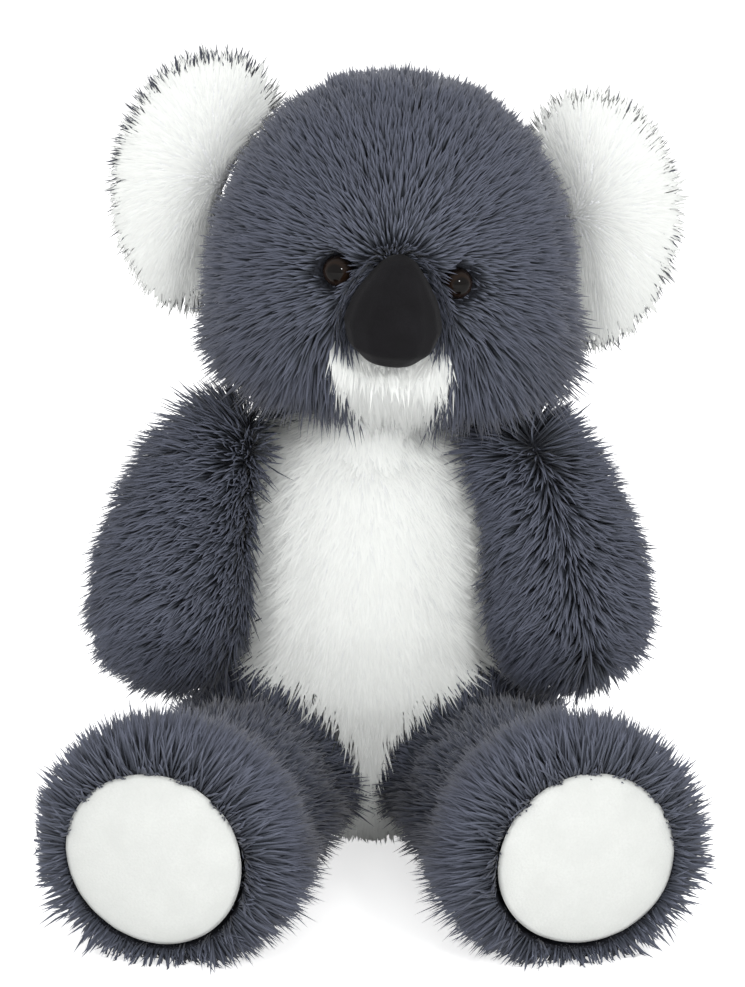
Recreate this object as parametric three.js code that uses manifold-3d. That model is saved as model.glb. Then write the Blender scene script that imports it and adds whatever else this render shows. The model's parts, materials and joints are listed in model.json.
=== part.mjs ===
// Plush koala, sitting: covers of long-pile fabric sewn over filling, as separate pieces.
// Millimetres, +Z up. The koala faces -Y, its left side is +X, and it sits on the floor at z = 0.

import * as THREE from 'three';
import Module from 'manifold-3d';
import { mergeVertices } from 'three/addons/utils/BufferGeometryUtils.js';

const wasm = await Module();
wasm.setup();

// Fabric and fit
const PILE_THICKNESS = 11;
const BACKING_THICKNESS = 2;
const VELVET_THICKNESS = 1.6;
const SEAM_GAP = 0.3;
const FIT_GAP = 0.3;
const FLOOR_PRESS = 0.5;
const CUT_OVERRUN = 15;

// Body
const TORSO_WIDTH = 138;
const TORSO_DEPTH = 114;
const TORSO_HEIGHT = 202;
const TORSO_SETBACK = 2;
const BELLY_WIDTH = 104;
const BELLY_POINT_WIDTH = 34;
const BELLY_SEAM_FORWARD = 14;
const NECK_RADIUS = 33;
const NECK_DROP = 20;
const NECK_HEM_THICKNESS = 4;
const NECK_HEM_DEG = 50;
const NECK_OPENING_DIAMETER = 33;

// Head
const HEAD_WIDTH = 163;
const HEAD_DEPTH = 148;
const HEAD_HEIGHT = 146;
const HEAD_LIFT = 22;
const HEAD_FORWARD = 12;
const HEAD_TILT_DEG = 6.3;
const HEAD_TURN_DEG = 1.5;
const GUSSET_WIDTH = 56;
const MUZZLE_WIDTH = 58;

// Nose and eyes
const NOSE_WIDTH = 43;
const NOSE_HEIGHT = 49;
const NOSE_DEPTH = 58;
const NOSE_STANDOUT = 23;
const NOSE_RISE = 76;
const EYE_SPREAD = 56;
const EYE_RISE = 89;
const EYE_DIAMETER = 14;
const EYE_DOME_HEIGHT = 7;
const EYE_STEM_DIAMETER = 4.5;
const EYE_STEM_LENGTH = 9;
const WASHER_DIAMETER = 15;
const WASHER_THICKNESS = 1.6;

// Ears
const EAR_HEIGHT = 110;
const EAR_OUTER_REACH = 42;
const EAR_ROOT_REACH = 26;
const EAR_DEPTH = 30;
const EAR_STANDOFF = 5.5;
const EAR_RISE = 107;
const EAR_SETBACK = 20;
const EAR_TILT_DEG = 18;
const EAR_SLANT = 10;
const EAR_PILE_THICKNESS = 9;
const EAR_HINGE_INSET = 9;
const EAR_FOLD_DEG = 12;

// Arms
const ARM_WIDTH = 76;
const ARM_DEPTH = 66;
const ARM_LENGTH = 126;
const PAW_CLEARANCE = 78;
const PAW_FORWARD = 44;
const SHOULDER_INSET = 25;
const SHOULDER_SETBACK = 32;
const SHOULDER_HEIGHT = 165;
const SHOULDER_TURN_DEG = 16;
const SHOULDER_TILT_DEG = 9;
const SHOULDER_PRESS = 3;

// Legs
const THIGH_WIDTH = 84;
const THIGH_HEIGHT = 76;
const FOOT_WIDTH = 97;
const FOOT_HEIGHT = 97;
const LEG_REACH = 160;
const LEG_ROOT_RADIUS = 42;
const HIP_SPREAD = 98;
const HIP_FORWARD = 32;
const LEG_SPLAY_DEG = 14.8;
const PAD_DIAMETER = 75;
const PAD_RECESS = 4;
const PAD_DROP = 3.5;

// Facets
const BODY_SIDES = 20;
const LIMB_SIDES = 16;
const TORSO_INNER_SIDES = 10;
const LIMB_INNER_SIDES = 8;
const NOSE_SIDES = 12;
const NECK_SIDES = 32;
const HIP_SIDES = 20;
const EYE_SIDES = 12;
const EYE_DOME_RINGS = 4;
const LEG_ROOT_RINGS = 4;

// Colours and finishes
const GREY_PILE = { color: 0x4b4f5b, roughness: 0.95, metalness: 0 };
const WHITE_PILE = { color: 0xe9ebea, roughness: 0.95, metalness: 0 };
const SMOOTH_PLUSH = { color: 0xeef0ee, roughness: 0.85, metalness: 0 };
const BLACK_VELVET = { color: 0x1d1c1e, roughness: 0.9, metalness: 0 };
const FILLING = { color: 0xf4f3ee, roughness: 1, metalness: 0 };
const EYE_PLASTIC = { color: 0x2a1d12, roughness: 0.08, metalness: 0 };
const WASHER_PLASTIC = { color: 0xe6e6e2, roughness: 0.5, metalness: 0 };
const HEM_TAPE = { color: 0x3a3d46, roughness: 0.95, metalness: 0 };

// Outlines of the soft forms, bottom to top, as shares of their sizes:
// half width, half depth, height, and how far the section's centre lies to the side and to the back.
const torsoShares = [
  [0, 0, 0, 0, 0.02],
  [0.42, 0.42, 0.001, 0, 0.02],
  [0.72, 0.7, 0.022, 0, 0.02],
  [0.92, 0.84, 0.1, 0, 0.02],
  [1, 0.93, 0.24, 0, 0],
  [0.99, 1, 0.4, 0, -0.02],
  [0.94, 0.97, 0.56, 0, -0.02],
  [0.87, 0.88, 0.72, 0, 0],
  [0.77, 0.76, 0.86, 0, 0.02],
  [0.56, 0.56, 0.955, 0, 0.03],
  [0, 0, 1, 0, 0.03],
];
const headShares = [
  [0, 0, 0, 0, 0],
  [0.36, 0.36, 0.012, 0, 0],
  [0.66, 0.66, 0.06, 0, 0],
  [0.9, 0.9, 0.17, 0, 0],
  [1, 1, 0.33, 0, 0],
  [0.97, 0.98, 0.51, 0, 0],
  [0.86, 0.89, 0.69, 0, 0.01],
  [0.66, 0.7, 0.85, 0, 0.02],
  [0.39, 0.42, 0.955, 0, 0.02],
  [0, 0, 1, 0, 0.02],
];
const noseShares = [
  [0, 0, 0, 0, 0],
  [0.5, 0.55, 0.05, 0, 0],
  [0.86, 0.88, 0.18, 0, 0],
  [1, 1, 0.38, 0, 0],
  [0.85, 0.92, 0.6, 0, 0],
  [0.6, 0.75, 0.78, 0, 0],
  [0.33, 0.48, 0.93, 0, 0],
  [0, 0, 1, 0, 0],
];
const earShares = [
  [0, 0, 0, 0.62, 0],
  [0.76, 0.18, 0.01, 0.61, 0],
  [0.9, 0.26, 0.16, 0.36, 0],
  [0.985, 0.55, 0.3, 0.13, 0],
  [1, 0.9, 0.42, -0.06, 0],
  [0.95, 1, 0.58, -0.32, 0],
  [0.82, 0.93, 0.74, -0.58, 0],
  [0.62, 0.74, 0.87, -0.79, 0],
  [0.36, 0.45, 0.96, -0.94, 0],
  [0, 0, 1, -1, 0],
];
const armShares = [
  [0, 0, 0, -0.03, 0.02],
  [0.5, 0.5, 0.035, -0.02, 0.01],
  [0.83, 0.83, 0.13, 0, 0],
  [1, 1, 0.3, 0, 0],
  [0.94, 0.95, 0.5, -0.05, 0.26],
  [0.82, 0.85, 0.68, -0.3, 0.54],
  [0.64, 0.7, 0.84, -0.68, 0.78],
  [0.4, 0.42, 0.955, -0.9, 0.94],
  [0, 0, 1, -1, 1],
];

// The leg's outline ahead of its round root: shares of the thigh's and the foot's sections, of the reach,
// and of the way from the height of the thigh's middle to that of the foot's.
const legShares = [
  [0.88, 0, 0.12, 0],
  [0.99, 0, 0.3, 0.08],
  [0.97, 0, 0.46, 0.2],
  [0.5, 0.46, 0.63, 0.45],
  [0, 0.98, 0.78, 0.95],
  [0, 1, 0.87, 1],
  [0, 0.92, 0.955, 1],
  [0, 0.74, 1, 1],
  [0, 0, 1, 1],
];
const muzzleShares = [
  [0.4, 1],
  [0.62, 0.86],
  [0.92, 0.72],
  [1, 0.52],
  [0.96, 0.26],
  [0.72, 0],
];
const bellyShares = [
  [0.8, 1],
  [0.97, 0.86],
  [1, 0.7],
  [0.98, 0.5],
];

const TORSO_BASE = -FLOOR_PRESS;
const NECK = new THREE.Vector3(0, TORSO_SETBACK - FIT_GAP, TORSO_BASE + TORSO_HEIGHT - NECK_DROP);
const NECK_SOCKET_RADIUS = socketRadius(NECK_RADIUS + FIT_GAP + NECK_HEM_THICKNESS, NECK_SIDES);
const LEG_BASE = LEG_ROOT_RADIUS - FLOOR_PRESS;
const EAR_SPREAD = HEAD_WIDTH + EAR_STANDOFF;
const CUT_SPAN = TORSO_HEIGHT + HEAD_HEIGHT;
const allOver = [-CUT_SPAN, CUT_SPAN];

// A solid from a closed geometry, with its shared vertices merged and its collapsed triangles left out.
function solidOf(geometry) {
  const bare = geometry.clone();
  bare.deleteAttribute('normal');
  bare.deleteAttribute('uv');
  const merged = mergeVertices(bare);
  const corners = merged.index.array;
  const kept = [];
  for (let i = 0; i < corners.length; i += 3) {
    const [a, b, c] = corners.slice(i, i + 3);
    if (a !== b && b !== c && c !== a) {
      kept.push(a, b, c);
    }
  }
  return new wasm.Manifold(new wasm.Mesh({
    numProp: 3,
    vertProperties: new Float32Array(merged.attributes.position.array),
    triVerts: new Uint32Array(kept),
  }));
}

function geometryOf(solid) {
  const mesh = solid.getMesh();
  const geometry = new THREE.BufferGeometry();
  geometry.setAttribute('position', new THREE.BufferAttribute(mesh.vertProperties, 3));
  geometry.setIndex(new THREE.BufferAttribute(mesh.triVerts, 1));
  return geometry;
}

// A stuffed form: rings along +Z between two closed ends. A margin shrinks it all round, or grows it
// where the margin is negative.
function softForm(levels, sides, margin = 0) {
  const rings = levels.length - 1;
  const widest = Math.max(...levels.map((level) => level.halfWidth));
  const deepest = Math.max(...levels.map((level) => level.halfDepth));
  const low = levels[0].height;
  const span = levels[rings].height - low;
  const positions = [];
  const index = [];
  levels.forEach((level, ring) => {
    const halfWidth = level.halfWidth * (1 - margin / widest);
    const halfDepth = level.halfDepth * (1 - margin / deepest);
    const height = low + margin + (level.height - low) * (1 - 2 * margin / span);
    const points = ring === 0 || ring === rings ? 1 : sides;
    for (let side = 0; side < points; side++) {
      const angle = side / sides * 2 * Math.PI;
      positions.push(level.x + halfWidth * Math.cos(angle), level.y + halfDepth * Math.sin(angle), height);
    }
  });
  const last = positions.length / 3 - 1;
  for (let side = 0; side < sides; side++) {
    const next = (side + 1) % sides;
    index.push(0, 1 + next, 1 + side);
    for (let ring = 0; ring < rings - 2; ring++) {
      const low0 = 1 + ring * sides;
      const high0 = low0 + sides;
      index.push(low0 + side, low0 + next, high0 + next);
      index.push(low0 + side, high0 + next, high0 + side);
    }
    const top0 = last - sides;
    index.push(last, top0 + side, top0 + next);
  }
  const geometry = new THREE.BufferGeometry();
  geometry.setAttribute('position', new THREE.Float32BufferAttribute(positions, 3));
  geometry.setIndex(index);
  return geometry;
}

// Levels of a form from a table of shares and the sizes that they follow.
function levelsOf(shares, width, depth, height, sideways = 0, backwards = depth) {
  return shares.map(([w, d, h, x, y]) => ({
    halfWidth: w * width / 2,
    halfDepth: d * depth / 2,
    height: h * height,
    x: x * sideways,
    y: y * backwards,
  }));
}

function ball(radius, sides, centre = new THREE.Vector3()) {
  const geometry = new THREE.SphereGeometry(radius, sides, sides / 2);
  return solidOf(geometry.translate(centre.x, centre.y, centre.z));
}

// The radius of a faceted hollow whose flats clear a ball of the given radius in any position.
function socketRadius(radius, sides) {
  return (radius + FIT_GAP) / Math.cos(Math.PI / sides) ** 2;
}

function block(xs, ys, zs) {
  const geometry = new THREE.BoxGeometry(xs[1] - xs[0], ys[1] - ys[0], zs[1] - zs[0]);
  return solidOf(geometry.translate((xs[0] + xs[1]) / 2, (ys[0] + ys[1]) / 2, (zs[0] + zs[1]) / 2));
}

// A closed outline in x and z, extruded along y.
function prismAlongY(points, ys) {
  const shape = new THREE.Shape(points.map(([x, z]) => new THREE.Vector2(x, z)));
  const geometry = new THREE.ExtrudeGeometry(shape, { depth: ys[1] - ys[0], bevelEnabled: false });
  geometry.rotateX(Math.PI / 2);
  return solidOf(geometry.translate(0, ys[1], 0));
}

// A round bar along +Z.
function bar(radius, zs, sides = EYE_SIDES) {
  const geometry = new THREE.CylinderGeometry(radius, radius, zs[1] - zs[0], sides);
  geometry.rotateX(Math.PI / 2);
  return geometry.translate(0, 0, (zs[0] + zs[1]) / 2);
}

function placed(geometry, matrix) {
  return solidOf(geometry.clone().applyMatrix4(matrix));
}

function mirrored(geometry) {
  const copy = geometry.clone().scale(-1, 1, 1);
  const corners = copy.index.array;
  for (let i = 0; i < corners.length; i += 3) {
    [corners[i], corners[i + 1]] = [corners[i + 1], corners[i]];
  }
  return copy;
}

// How far a geometry reaches along a direction.
function reach(geometry, direction) {
  const point = new THREE.Vector3();
  const position = geometry.attributes.position;
  let most = -Infinity;
  for (let i = 0; i < position.count; i++) {
    most = Math.max(most, point.fromBufferAttribute(position, i).dot(direction));
  }
  return most;
}

// A large block whose face through the origin looks along the given direction.
function halfSpace(direction, size) {
  const turn = new THREE.Quaternion().setFromUnitVectors(new THREE.Vector3(0, 0, 1), direction);
  const geometry = new THREE.BoxGeometry(2 * size, 2 * size, size);
  geometry.translate(0, 0, -size / 2);
  return geometry.applyQuaternion(turn);
}

const torsoLevels = levelsOf(torsoShares, TORSO_WIDTH, TORSO_DEPTH, TORSO_HEIGHT);
const headLevels = levelsOf(headShares, HEAD_WIDTH, HEAD_DEPTH, HEAD_HEIGHT);
const noseLevels = levelsOf(noseShares, NOSE_WIDTH, NOSE_DEPTH, NOSE_HEIGHT);
const earLevels = levelsOf(earShares, EAR_HEIGHT, EAR_DEPTH, EAR_ROOT_REACH + EAR_OUTER_REACH, EAR_SLANT);
const armLevels = levelsOf(armShares, ARM_WIDTH, ARM_DEPTH, ARM_LENGTH, SHOULDER_INSET, SHOULDER_SETBACK);

// The leg lies along its own +Z from the hip, with its width along X and its top towards +Y.
// Its root is round about the hip, and its thigh and foot rest on the floor.
const legLevels = [];
for (let ring = 0; ring <= LEG_ROOT_RINGS; ring++) {
  const angle = ring / LEG_ROOT_RINGS * Math.PI / 2;
  const radius = LEG_ROOT_RADIUS * Math.sin(angle);
  const height = -LEG_ROOT_RADIUS * Math.cos(angle);
  legLevels.push({ halfWidth: radius, halfDepth: radius, height, x: 0, y: 0 });
}
for (const [thigh, foot, along, rise] of legShares) {
  legLevels.push({
    halfWidth: (thigh * THIGH_WIDTH + foot * FOOT_WIDTH) / 2,
    halfDepth: (thigh * THIGH_HEIGHT + foot * FOOT_HEIGHT) / 2,
    height: along * LEG_REACH,
    x: 0,
    y: THREE.MathUtils.lerp(THIGH_HEIGHT, FOOT_HEIGHT, rise) / 2 - LEG_ROOT_RADIUS,
  });
}

function torsoGeometry(margin = 0) {
  const sides = margin > 0 ? TORSO_INNER_SIDES : BODY_SIDES;
  return softForm(torsoLevels, sides, margin).translate(0, TORSO_SETBACK, TORSO_BASE);
}

function torsoForm(margin = 0) {
  return solidOf(torsoGeometry(margin)).add(ball(NECK_RADIUS - margin, NECK_SIDES, NECK));
}

// Head forms are placed from the neck's centre, before the head is tilted and turned.
function headForm(margin = 0) {
  return solidOf(softForm(headLevels, BODY_SIDES, margin).translate(0, -HEAD_FORWARD, HEAD_LIFT));
}

function noseForm(margin = 0) {
  const front = HEAD_FORWARD + HEAD_DEPTH / 2 + NOSE_STANDOUT;
  const nose = softForm(noseLevels, NOSE_SIDES, margin);
  return solidOf(nose.translate(0, NOSE_DEPTH / 2 - front, NOSE_RISE - NOSE_HEIGHT / 2));
}

// The ear folds about an upright line at its root.
const earTurn = Math.PI / 2 - THREE.MathUtils.degToRad(EAR_TILT_DEG);
const earAxis = new THREE.Vector3(-1, 0, 0).applyAxisAngle(new THREE.Vector3(0, 1, 0), earTurn);
const earHinge = new THREE.Vector3(EAR_SPREAD / 2 - EAR_HINGE_INSET, EAR_SETBACK - HEAD_FORWARD, EAR_RISE);

// The ear's form runs outwards from its root inside the head, with its width upright.
function earForm(margin = 0) {
  const sides = margin > 0 ? LIMB_INNER_SIDES : LIMB_SIDES;
  const ear = softForm(earLevels, sides, margin).translate(0, 0, -EAR_ROOT_REACH).rotateY(earTurn);
  return solidOf(ear.translate(EAR_SPREAD / 2, earHinge.y, EAR_RISE));
}

// Arm forms are placed in the body's frame for the left side.
const shoulderAxis = new THREE.Vector3(1, 0, 0)
  .applyAxisAngle(new THREE.Vector3(0, 0, 1), -THREE.MathUtils.degToRad(SHOULDER_TURN_DEG))
  .multiplyScalar(Math.cos(THREE.MathUtils.degToRad(SHOULDER_TILT_DEG)))
  .add(new THREE.Vector3(0, 0, Math.sin(THREE.MathUtils.degToRad(SHOULDER_TILT_DEG))));
const shoulderReach = reach(torsoGeometry(), shoulderAxis) - SHOULDER_PRESS;
const shoulderHeart = new THREE.Vector3(0, TORSO_SETBACK, SHOULDER_HEIGHT);
const shoulder = shoulderHeart.clone()
  .addScaledVector(shoulderAxis, shoulderReach - shoulderHeart.dot(shoulderAxis));
const armPlace = armCentre();

function armCentre() {
  const form = softForm(armLevels, LIMB_SIDES).translate(0, -PAW_FORWARD, PAW_CLEARANCE);
  const inward = reach(form, shoulderAxis.clone().negate());
  const shift = (shoulderReach - SHOULDER_PRESS + inward) / shoulderAxis.x;
  return new THREE.Vector3(shift, -PAW_FORWARD, PAW_CLEARANCE);
}

function armForm(margin = 0) {
  const sides = margin > 0 ? LIMB_INNER_SIDES : LIMB_SIDES;
  const form = softForm(armLevels, sides, margin);
  return solidOf(form.translate(armPlace.x, armPlace.y, armPlace.z));
}

// Everything on the body's side of the seam plane of the left shoulder, moved out by an offset.
function bodySide(offset) {
  const place = shoulder.clone().addScaledVector(shoulderAxis, offset);
  return solidOf(halfSpace(shoulderAxis, CUT_SPAN).translate(place.x, place.y, place.z));
}

const hip = new THREE.Vector3(HIP_SPREAD / 2, -HIP_FORWARD, LEG_BASE);

function legMatrix() {
  const forward = new THREE.Matrix4().makeRotationX(Math.PI / 2);
  const splay = new THREE.Matrix4().makeRotationZ(THREE.MathUtils.degToRad(LEG_SPLAY_DEG));
  const place = new THREE.Matrix4().makeTranslation(hip.x, hip.y, hip.z);
  return place.multiply(splay).multiply(forward);
}

function legForm(margin = 0, sides = margin > 0 ? LIMB_INNER_SIDES : LIMB_SIDES) {
  return placed(softForm(legLevels, sides, margin), legMatrix());
}

function floor() {
  return block(allOver, allOver, [-CUT_SPAN, 0]);
}

function mirroredSolid(solid) {
  return solidOf(mirrored(geometryOf(solid)));
}

// A solid of the left side joined with its mirror image.
function placedPair(solid) {
  return solid.add(mirroredSolid(solid));
}

// The belly panel's outline seen from the front, widened all round by a gap.
function bellyPrism(gap) {
  const points = bellyShares.map(([w, h]) => [w * BELLY_WIDTH / 2 + gap, h * TORSO_HEIGHT]);
  points[0][1] += TORSO_HEIGHT;
  points.push([BELLY_POINT_WIDTH / 2 + gap, -CUT_OVERRUN]);
  const outline = [...points, ...points.map(([x, z]) => [-x, z]).reverse()];
  return prismAlongY(outline, [-CUT_SPAN, gap - BELLY_SEAM_FORWARD]);
}

function makeTorso() {
  const taken = placedPair(ball(socketRadius(LEG_ROOT_RADIUS, HIP_SIDES), HIP_SIDES, hip)).add(floor());
  const leftSide = bodySide(-SEAM_GAP / 2);
  const trim = (solid) => solid.subtract(taken).intersect(leftSide).intersect(mirroredSolid(leftSide));
  const cover = trim(torsoForm().subtract(torsoForm(PILE_THICKNESS)));
  const back = cover.subtract(bellyPrism(SEAM_GAP / 2));
  const backLeft = geometryOf(back.intersect(block([SEAM_GAP / 2, CUT_SPAN], allOver, allOver)));
  return {
    torso_back_left: [backLeft, GREY_PILE],
    torso_back_right: [mirrored(backLeft), GREY_PILE],
    belly_panel: [geometryOf(cover.intersect(bellyPrism(-SEAM_GAP / 2))), WHITE_PILE],
    torso_filling: [geometryOf(trim(torsoForm(PILE_THICKNESS + FIT_GAP))), FILLING],
  };
}

// The neck's hem is a band of the ball between the body and the head, with filling in its middle.
function makeNeck() {
  const inner = socketRadius(NECK_RADIUS, NECK_SIDES);
  const outer = NECK_SOCKET_RADIUS * Math.cos(Math.PI / NECK_SIDES) ** 2 - FIT_GAP;
  const layer = ball(outer, NECK_SIDES).subtract(ball(inner, NECK_SIDES));
  const low = NECK_RADIUS * Math.cos(THREE.MathUtils.degToRad(NECK_HEM_DEG));
  const opening = NECK_OPENING_DIAMETER / 2;
  const cap = layer.intersect(block(allOver, allOver, [low, CUT_SPAN]));
  const hem = cap.subtract(solidOf(bar(opening, [0, CUT_SPAN])));
  const plug = cap.intersect(solidOf(bar(opening - FIT_GAP, [0, CUT_SPAN])));
  return {
    neck_hem: [geometryOf(hem), HEM_TAPE],
    neck_filling: [geometryOf(plug), FILLING],
  };
}

// Eye frames: local +Z looks out of the head from the backing of its cover.
function eyeMatrix() {
  const across = EYE_SPREAD / HEAD_WIDTH;
  const forward = Math.sqrt(1 - across ** 2);
  const outward = new THREE.Vector3(across / HEAD_WIDTH, -forward / HEAD_DEPTH, 0).normalize();
  const surface = new THREE.Vector3(EYE_SPREAD / 2, -HEAD_FORWARD - forward * HEAD_DEPTH / 2, EYE_RISE);
  surface.addScaledVector(outward, -PILE_THICKNESS + BACKING_THICKNESS);
  const turn = new THREE.Quaternion().setFromUnitVectors(new THREE.Vector3(0, 0, 1), outward);
  return new THREE.Matrix4().compose(surface, turn, new THREE.Vector3(1, 1, 1));
}

function eyeGeometry() {
  const stem = EYE_STEM_DIAMETER / 2;
  const profile = [
    new THREE.Vector2(0, -EYE_STEM_LENGTH),
    new THREE.Vector2(stem, -EYE_STEM_LENGTH),
    new THREE.Vector2(stem, FIT_GAP),
  ];
  for (let ring = 0; ring <= EYE_DOME_RINGS; ring++) {
    const angle = ring / EYE_DOME_RINGS * Math.PI / 2;
    const radius = EYE_DIAMETER / 2 * Math.cos(angle);
    profile.push(new THREE.Vector2(radius, FIT_GAP + EYE_DOME_HEIGHT * Math.sin(angle)));
  }
  return new THREE.LatheGeometry(profile, EYE_SIDES).rotateX(Math.PI / 2);
}

function washerGeometry() {
  const top = -BACKING_THICKNESS - FIT_GAP;
  const washer = solidOf(bar(WASHER_DIAMETER / 2, [top - WASHER_THICKNESS, top]));
  const hole = solidOf(bar(EYE_STEM_DIAMETER / 2 + FIT_GAP, [-CUT_OVERRUN, CUT_OVERRUN]));
  return geometryOf(washer.subtract(hole));
}

// What an eye takes out of the cover and the filling: a well in the pile, the stem's hole, the washer's room.
function eyeRoom(matrix) {
  const well = bar(EYE_DIAMETER / 2 + FIT_GAP, [0, 2 * PILE_THICKNESS]);
  const stem = bar(EYE_STEM_DIAMETER / 2 + FIT_GAP, [-EYE_STEM_LENGTH - FIT_GAP, PILE_THICKNESS]);
  const washerDepth = BACKING_THICKNESS + WASHER_THICKNESS + 3 * FIT_GAP;
  const washer = bar(WASHER_DIAMETER / 2 + FIT_GAP, [-washerDepth, -BACKING_THICKNESS]);
  return placed(well, matrix).add(placed(stem, matrix)).add(placed(washer, matrix));
}

// The muzzle panel's outline seen from the front, from the middle of the nose to below the chin.
function muzzlePrism(gap) {
  const height = NOSE_RISE - HEAD_LIFT;
  const points = muzzleShares.map(([w, h]) => [w * MUZZLE_WIDTH / 2 + gap, HEAD_LIFT + h * height + gap]);
  points[points.length - 1][1] = -CUT_OVERRUN;
  const outline = [...points, ...points.map(([x, z]) => [-x, z]).reverse()];
  return prismAlongY(outline, [-CUT_SPAN, gap - HEAD_FORWARD]);
}

// The gusset's strip: over the crown and down the back, and down the front as far as the nose.
function gussetStrip(gap) {
  const across = [-GUSSET_WIDTH / 2 - gap, GUSSET_WIDTH / 2 + gap];
  const over = block(across, allOver, [NOSE_RISE + SEAM_GAP / 2 - gap, CUT_SPAN]);
  const behind = block(across, [SEAM_GAP - gap - HEAD_FORWARD, CUT_SPAN], allOver);
  return over.add(behind);
}

function makeHead() {
  const eyes = placedPair(eyeRoom(eyeMatrix()));
  const socket = ball(NECK_SOCKET_RADIUS, NECK_SIDES);
  const seat = headForm(PILE_THICKNESS - BACKING_THICKNESS);
  const noseRoom = noseForm(-FIT_GAP).subtract(seat);
  const layer = headForm().subtract(headForm(PILE_THICKNESS));
  const cover = layer.subtract(socket).subtract(eyes).subtract(noseRoom);
  const sides = cover.subtract(gussetStrip(SEAM_GAP)).subtract(muzzlePrism(SEAM_GAP));
  const left = geometryOf(sides.intersect(block([0, CUT_SPAN], allOver, allOver)));
  const filling = headForm(PILE_THICKNESS + FIT_GAP).subtract(socket).subtract(eyes);
  return {
    head_side_left: [left, GREY_PILE],
    head_side_right: [mirrored(left), GREY_PILE],
    head_gusset: [geometryOf(cover.intersect(gussetStrip(0))), GREY_PILE],
    muzzle_panel: [geometryOf(cover.intersect(muzzlePrism(0))), WHITE_PILE],
    head_filling: [geometryOf(filling), FILLING],
  };
}

function makeNose() {
  const seat = headForm(PILE_THICKNESS - BACKING_THICKNESS - FIT_GAP);
  const cover = noseForm().subtract(noseForm(VELVET_THICKNESS)).subtract(seat);
  const filling = noseForm(VELVET_THICKNESS + FIT_GAP).subtract(seat);
  return {
    nose_cover: [geometryOf(cover), BLACK_VELVET],
    nose_filling: [geometryOf(filling), FILLING],
  };
}

function makeEyes() {
  const eye = geometryOf(placed(eyeGeometry(), eyeMatrix()));
  const washer = washerGeometry().applyMatrix4(eyeMatrix());
  return {
    eye_left: [eye, EYE_PLASTIC],
    eye_right: [mirrored(eye), EYE_PLASTIC],
    eye_washer_left: [washer, WASHER_PLASTIC],
    eye_washer_right: [mirrored(washer), WASHER_PLASTIC],
  };
}

// What the ear keeps clear of: the head as it lies to the ear at rest and at both ends of its fold.
function earClearance() {
  const headShape = softForm(headLevels, BODY_SIDES, -FIT_GAP).translate(0, -HEAD_FORWARD, HEAD_LIFT);
  const out = new THREE.Matrix4().makeTranslation(earHinge.x, earHinge.y, earHinge.z);
  const back = out.clone().invert();
  const poses = [-EAR_FOLD_DEG, 0, EAR_FOLD_DEG].map((degrees) => {
    const turn = new THREE.Matrix4().makeRotationAxis(earAxis, THREE.MathUtils.degToRad(degrees));
    return placed(headShape, out.clone().multiply(turn).multiply(back));
  });
  return poses[0].add(poses[1]).add(poses[2]);
}

function makeEars() {
  const clear = earClearance();
  const cover = earForm().subtract(earForm(EAR_PILE_THICKNESS)).subtract(clear);
  const ahead = block(allOver, [-CUT_SPAN, earHinge.y - SEAM_GAP / 2], allOver);
  const behind = block(allOver, [earHinge.y + SEAM_GAP / 2, CUT_SPAN], allOver);
  const front = geometryOf(cover.intersect(ahead));
  const back = geometryOf(cover.intersect(behind));
  const filling = geometryOf(earForm(EAR_PILE_THICKNESS + FIT_GAP).subtract(clear));
  return {
    ear_front_left: [front, WHITE_PILE],
    ear_front_right: [mirrored(front), WHITE_PILE],
    ear_back_left: [back, GREY_PILE],
    ear_back_right: [mirrored(back), GREY_PILE],
    ear_filling_left: [filling, FILLING],
    ear_filling_right: [mirrored(filling), FILLING],
  };
}

function makeArms() {
  const body = bodySide(SEAM_GAP / 2);
  const cover = armForm().subtract(armForm(PILE_THICKNESS)).subtract(body);
  const seamX = armPlace.x - SHOULDER_INSET / 2;
  const outside = block([seamX + SEAM_GAP / 2, CUT_SPAN], allOver, allOver);
  const inside = block([-CUT_SPAN, seamX - SEAM_GAP / 2], allOver, allOver);
  const outer = geometryOf(cover.intersect(outside));
  const inner = geometryOf(cover.intersect(inside));
  const filling = geometryOf(armForm(PILE_THICKNESS + FIT_GAP).subtract(body));
  return {
    arm_outer_left: [outer, GREY_PILE],
    arm_outer_right: [mirrored(outer), GREY_PILE],
    arm_inner_left: [inner, GREY_PILE],
    arm_inner_right: [mirrored(inner), GREY_PILE],
    arm_filling_left: [filling, FILLING],
    arm_filling_right: [mirrored(filling), FILLING],
  };
}

function makeLegs() {
  const padRadius = PAD_DIAMETER / 2;
  const padEnds = [LEG_REACH - 2 * PILE_THICKNESS, LEG_REACH + CUT_OVERRUN];
  const padBar = (radius) => placed(bar(radius, padEnds, 2 * LIMB_SIDES), soleMatrix());
  const ground = floor();
  const cover = legForm().subtract(legForm(PILE_THICKNESS)).subtract(padBar(padRadius)).subtract(ground);
  const padFront = legForm(PAD_RECESS, LIMB_SIDES);
  const pad = padFront.subtract(legForm(PILE_THICKNESS)).intersect(padBar(padRadius - FIT_GAP));
  const above = block(allOver, allOver, [LEG_BASE + SEAM_GAP / 2, CUT_SPAN]);
  const below = block(allOver, allOver, [-CUT_SPAN, LEG_BASE - SEAM_GAP / 2]);
  const upper = geometryOf(cover.intersect(above));
  const lower = geometryOf(cover.intersect(below));
  const sole = geometryOf(pad);
  const filling = geometryOf(legForm(PILE_THICKNESS + FIT_GAP));
  return {
    leg_upper_left: [upper, GREY_PILE],
    leg_upper_right: [mirrored(upper), GREY_PILE],
    leg_lower_left: [lower, GREY_PILE],
    leg_lower_right: [mirrored(lower), GREY_PILE],
    sole_pad_left: [sole, SMOOTH_PLUSH],
    sole_pad_right: [mirrored(sole), SMOOTH_PLUSH],
    leg_filling_left: [filling, FILLING],
    leg_filling_right: [mirrored(filling), FILLING],
  };
}

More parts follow.
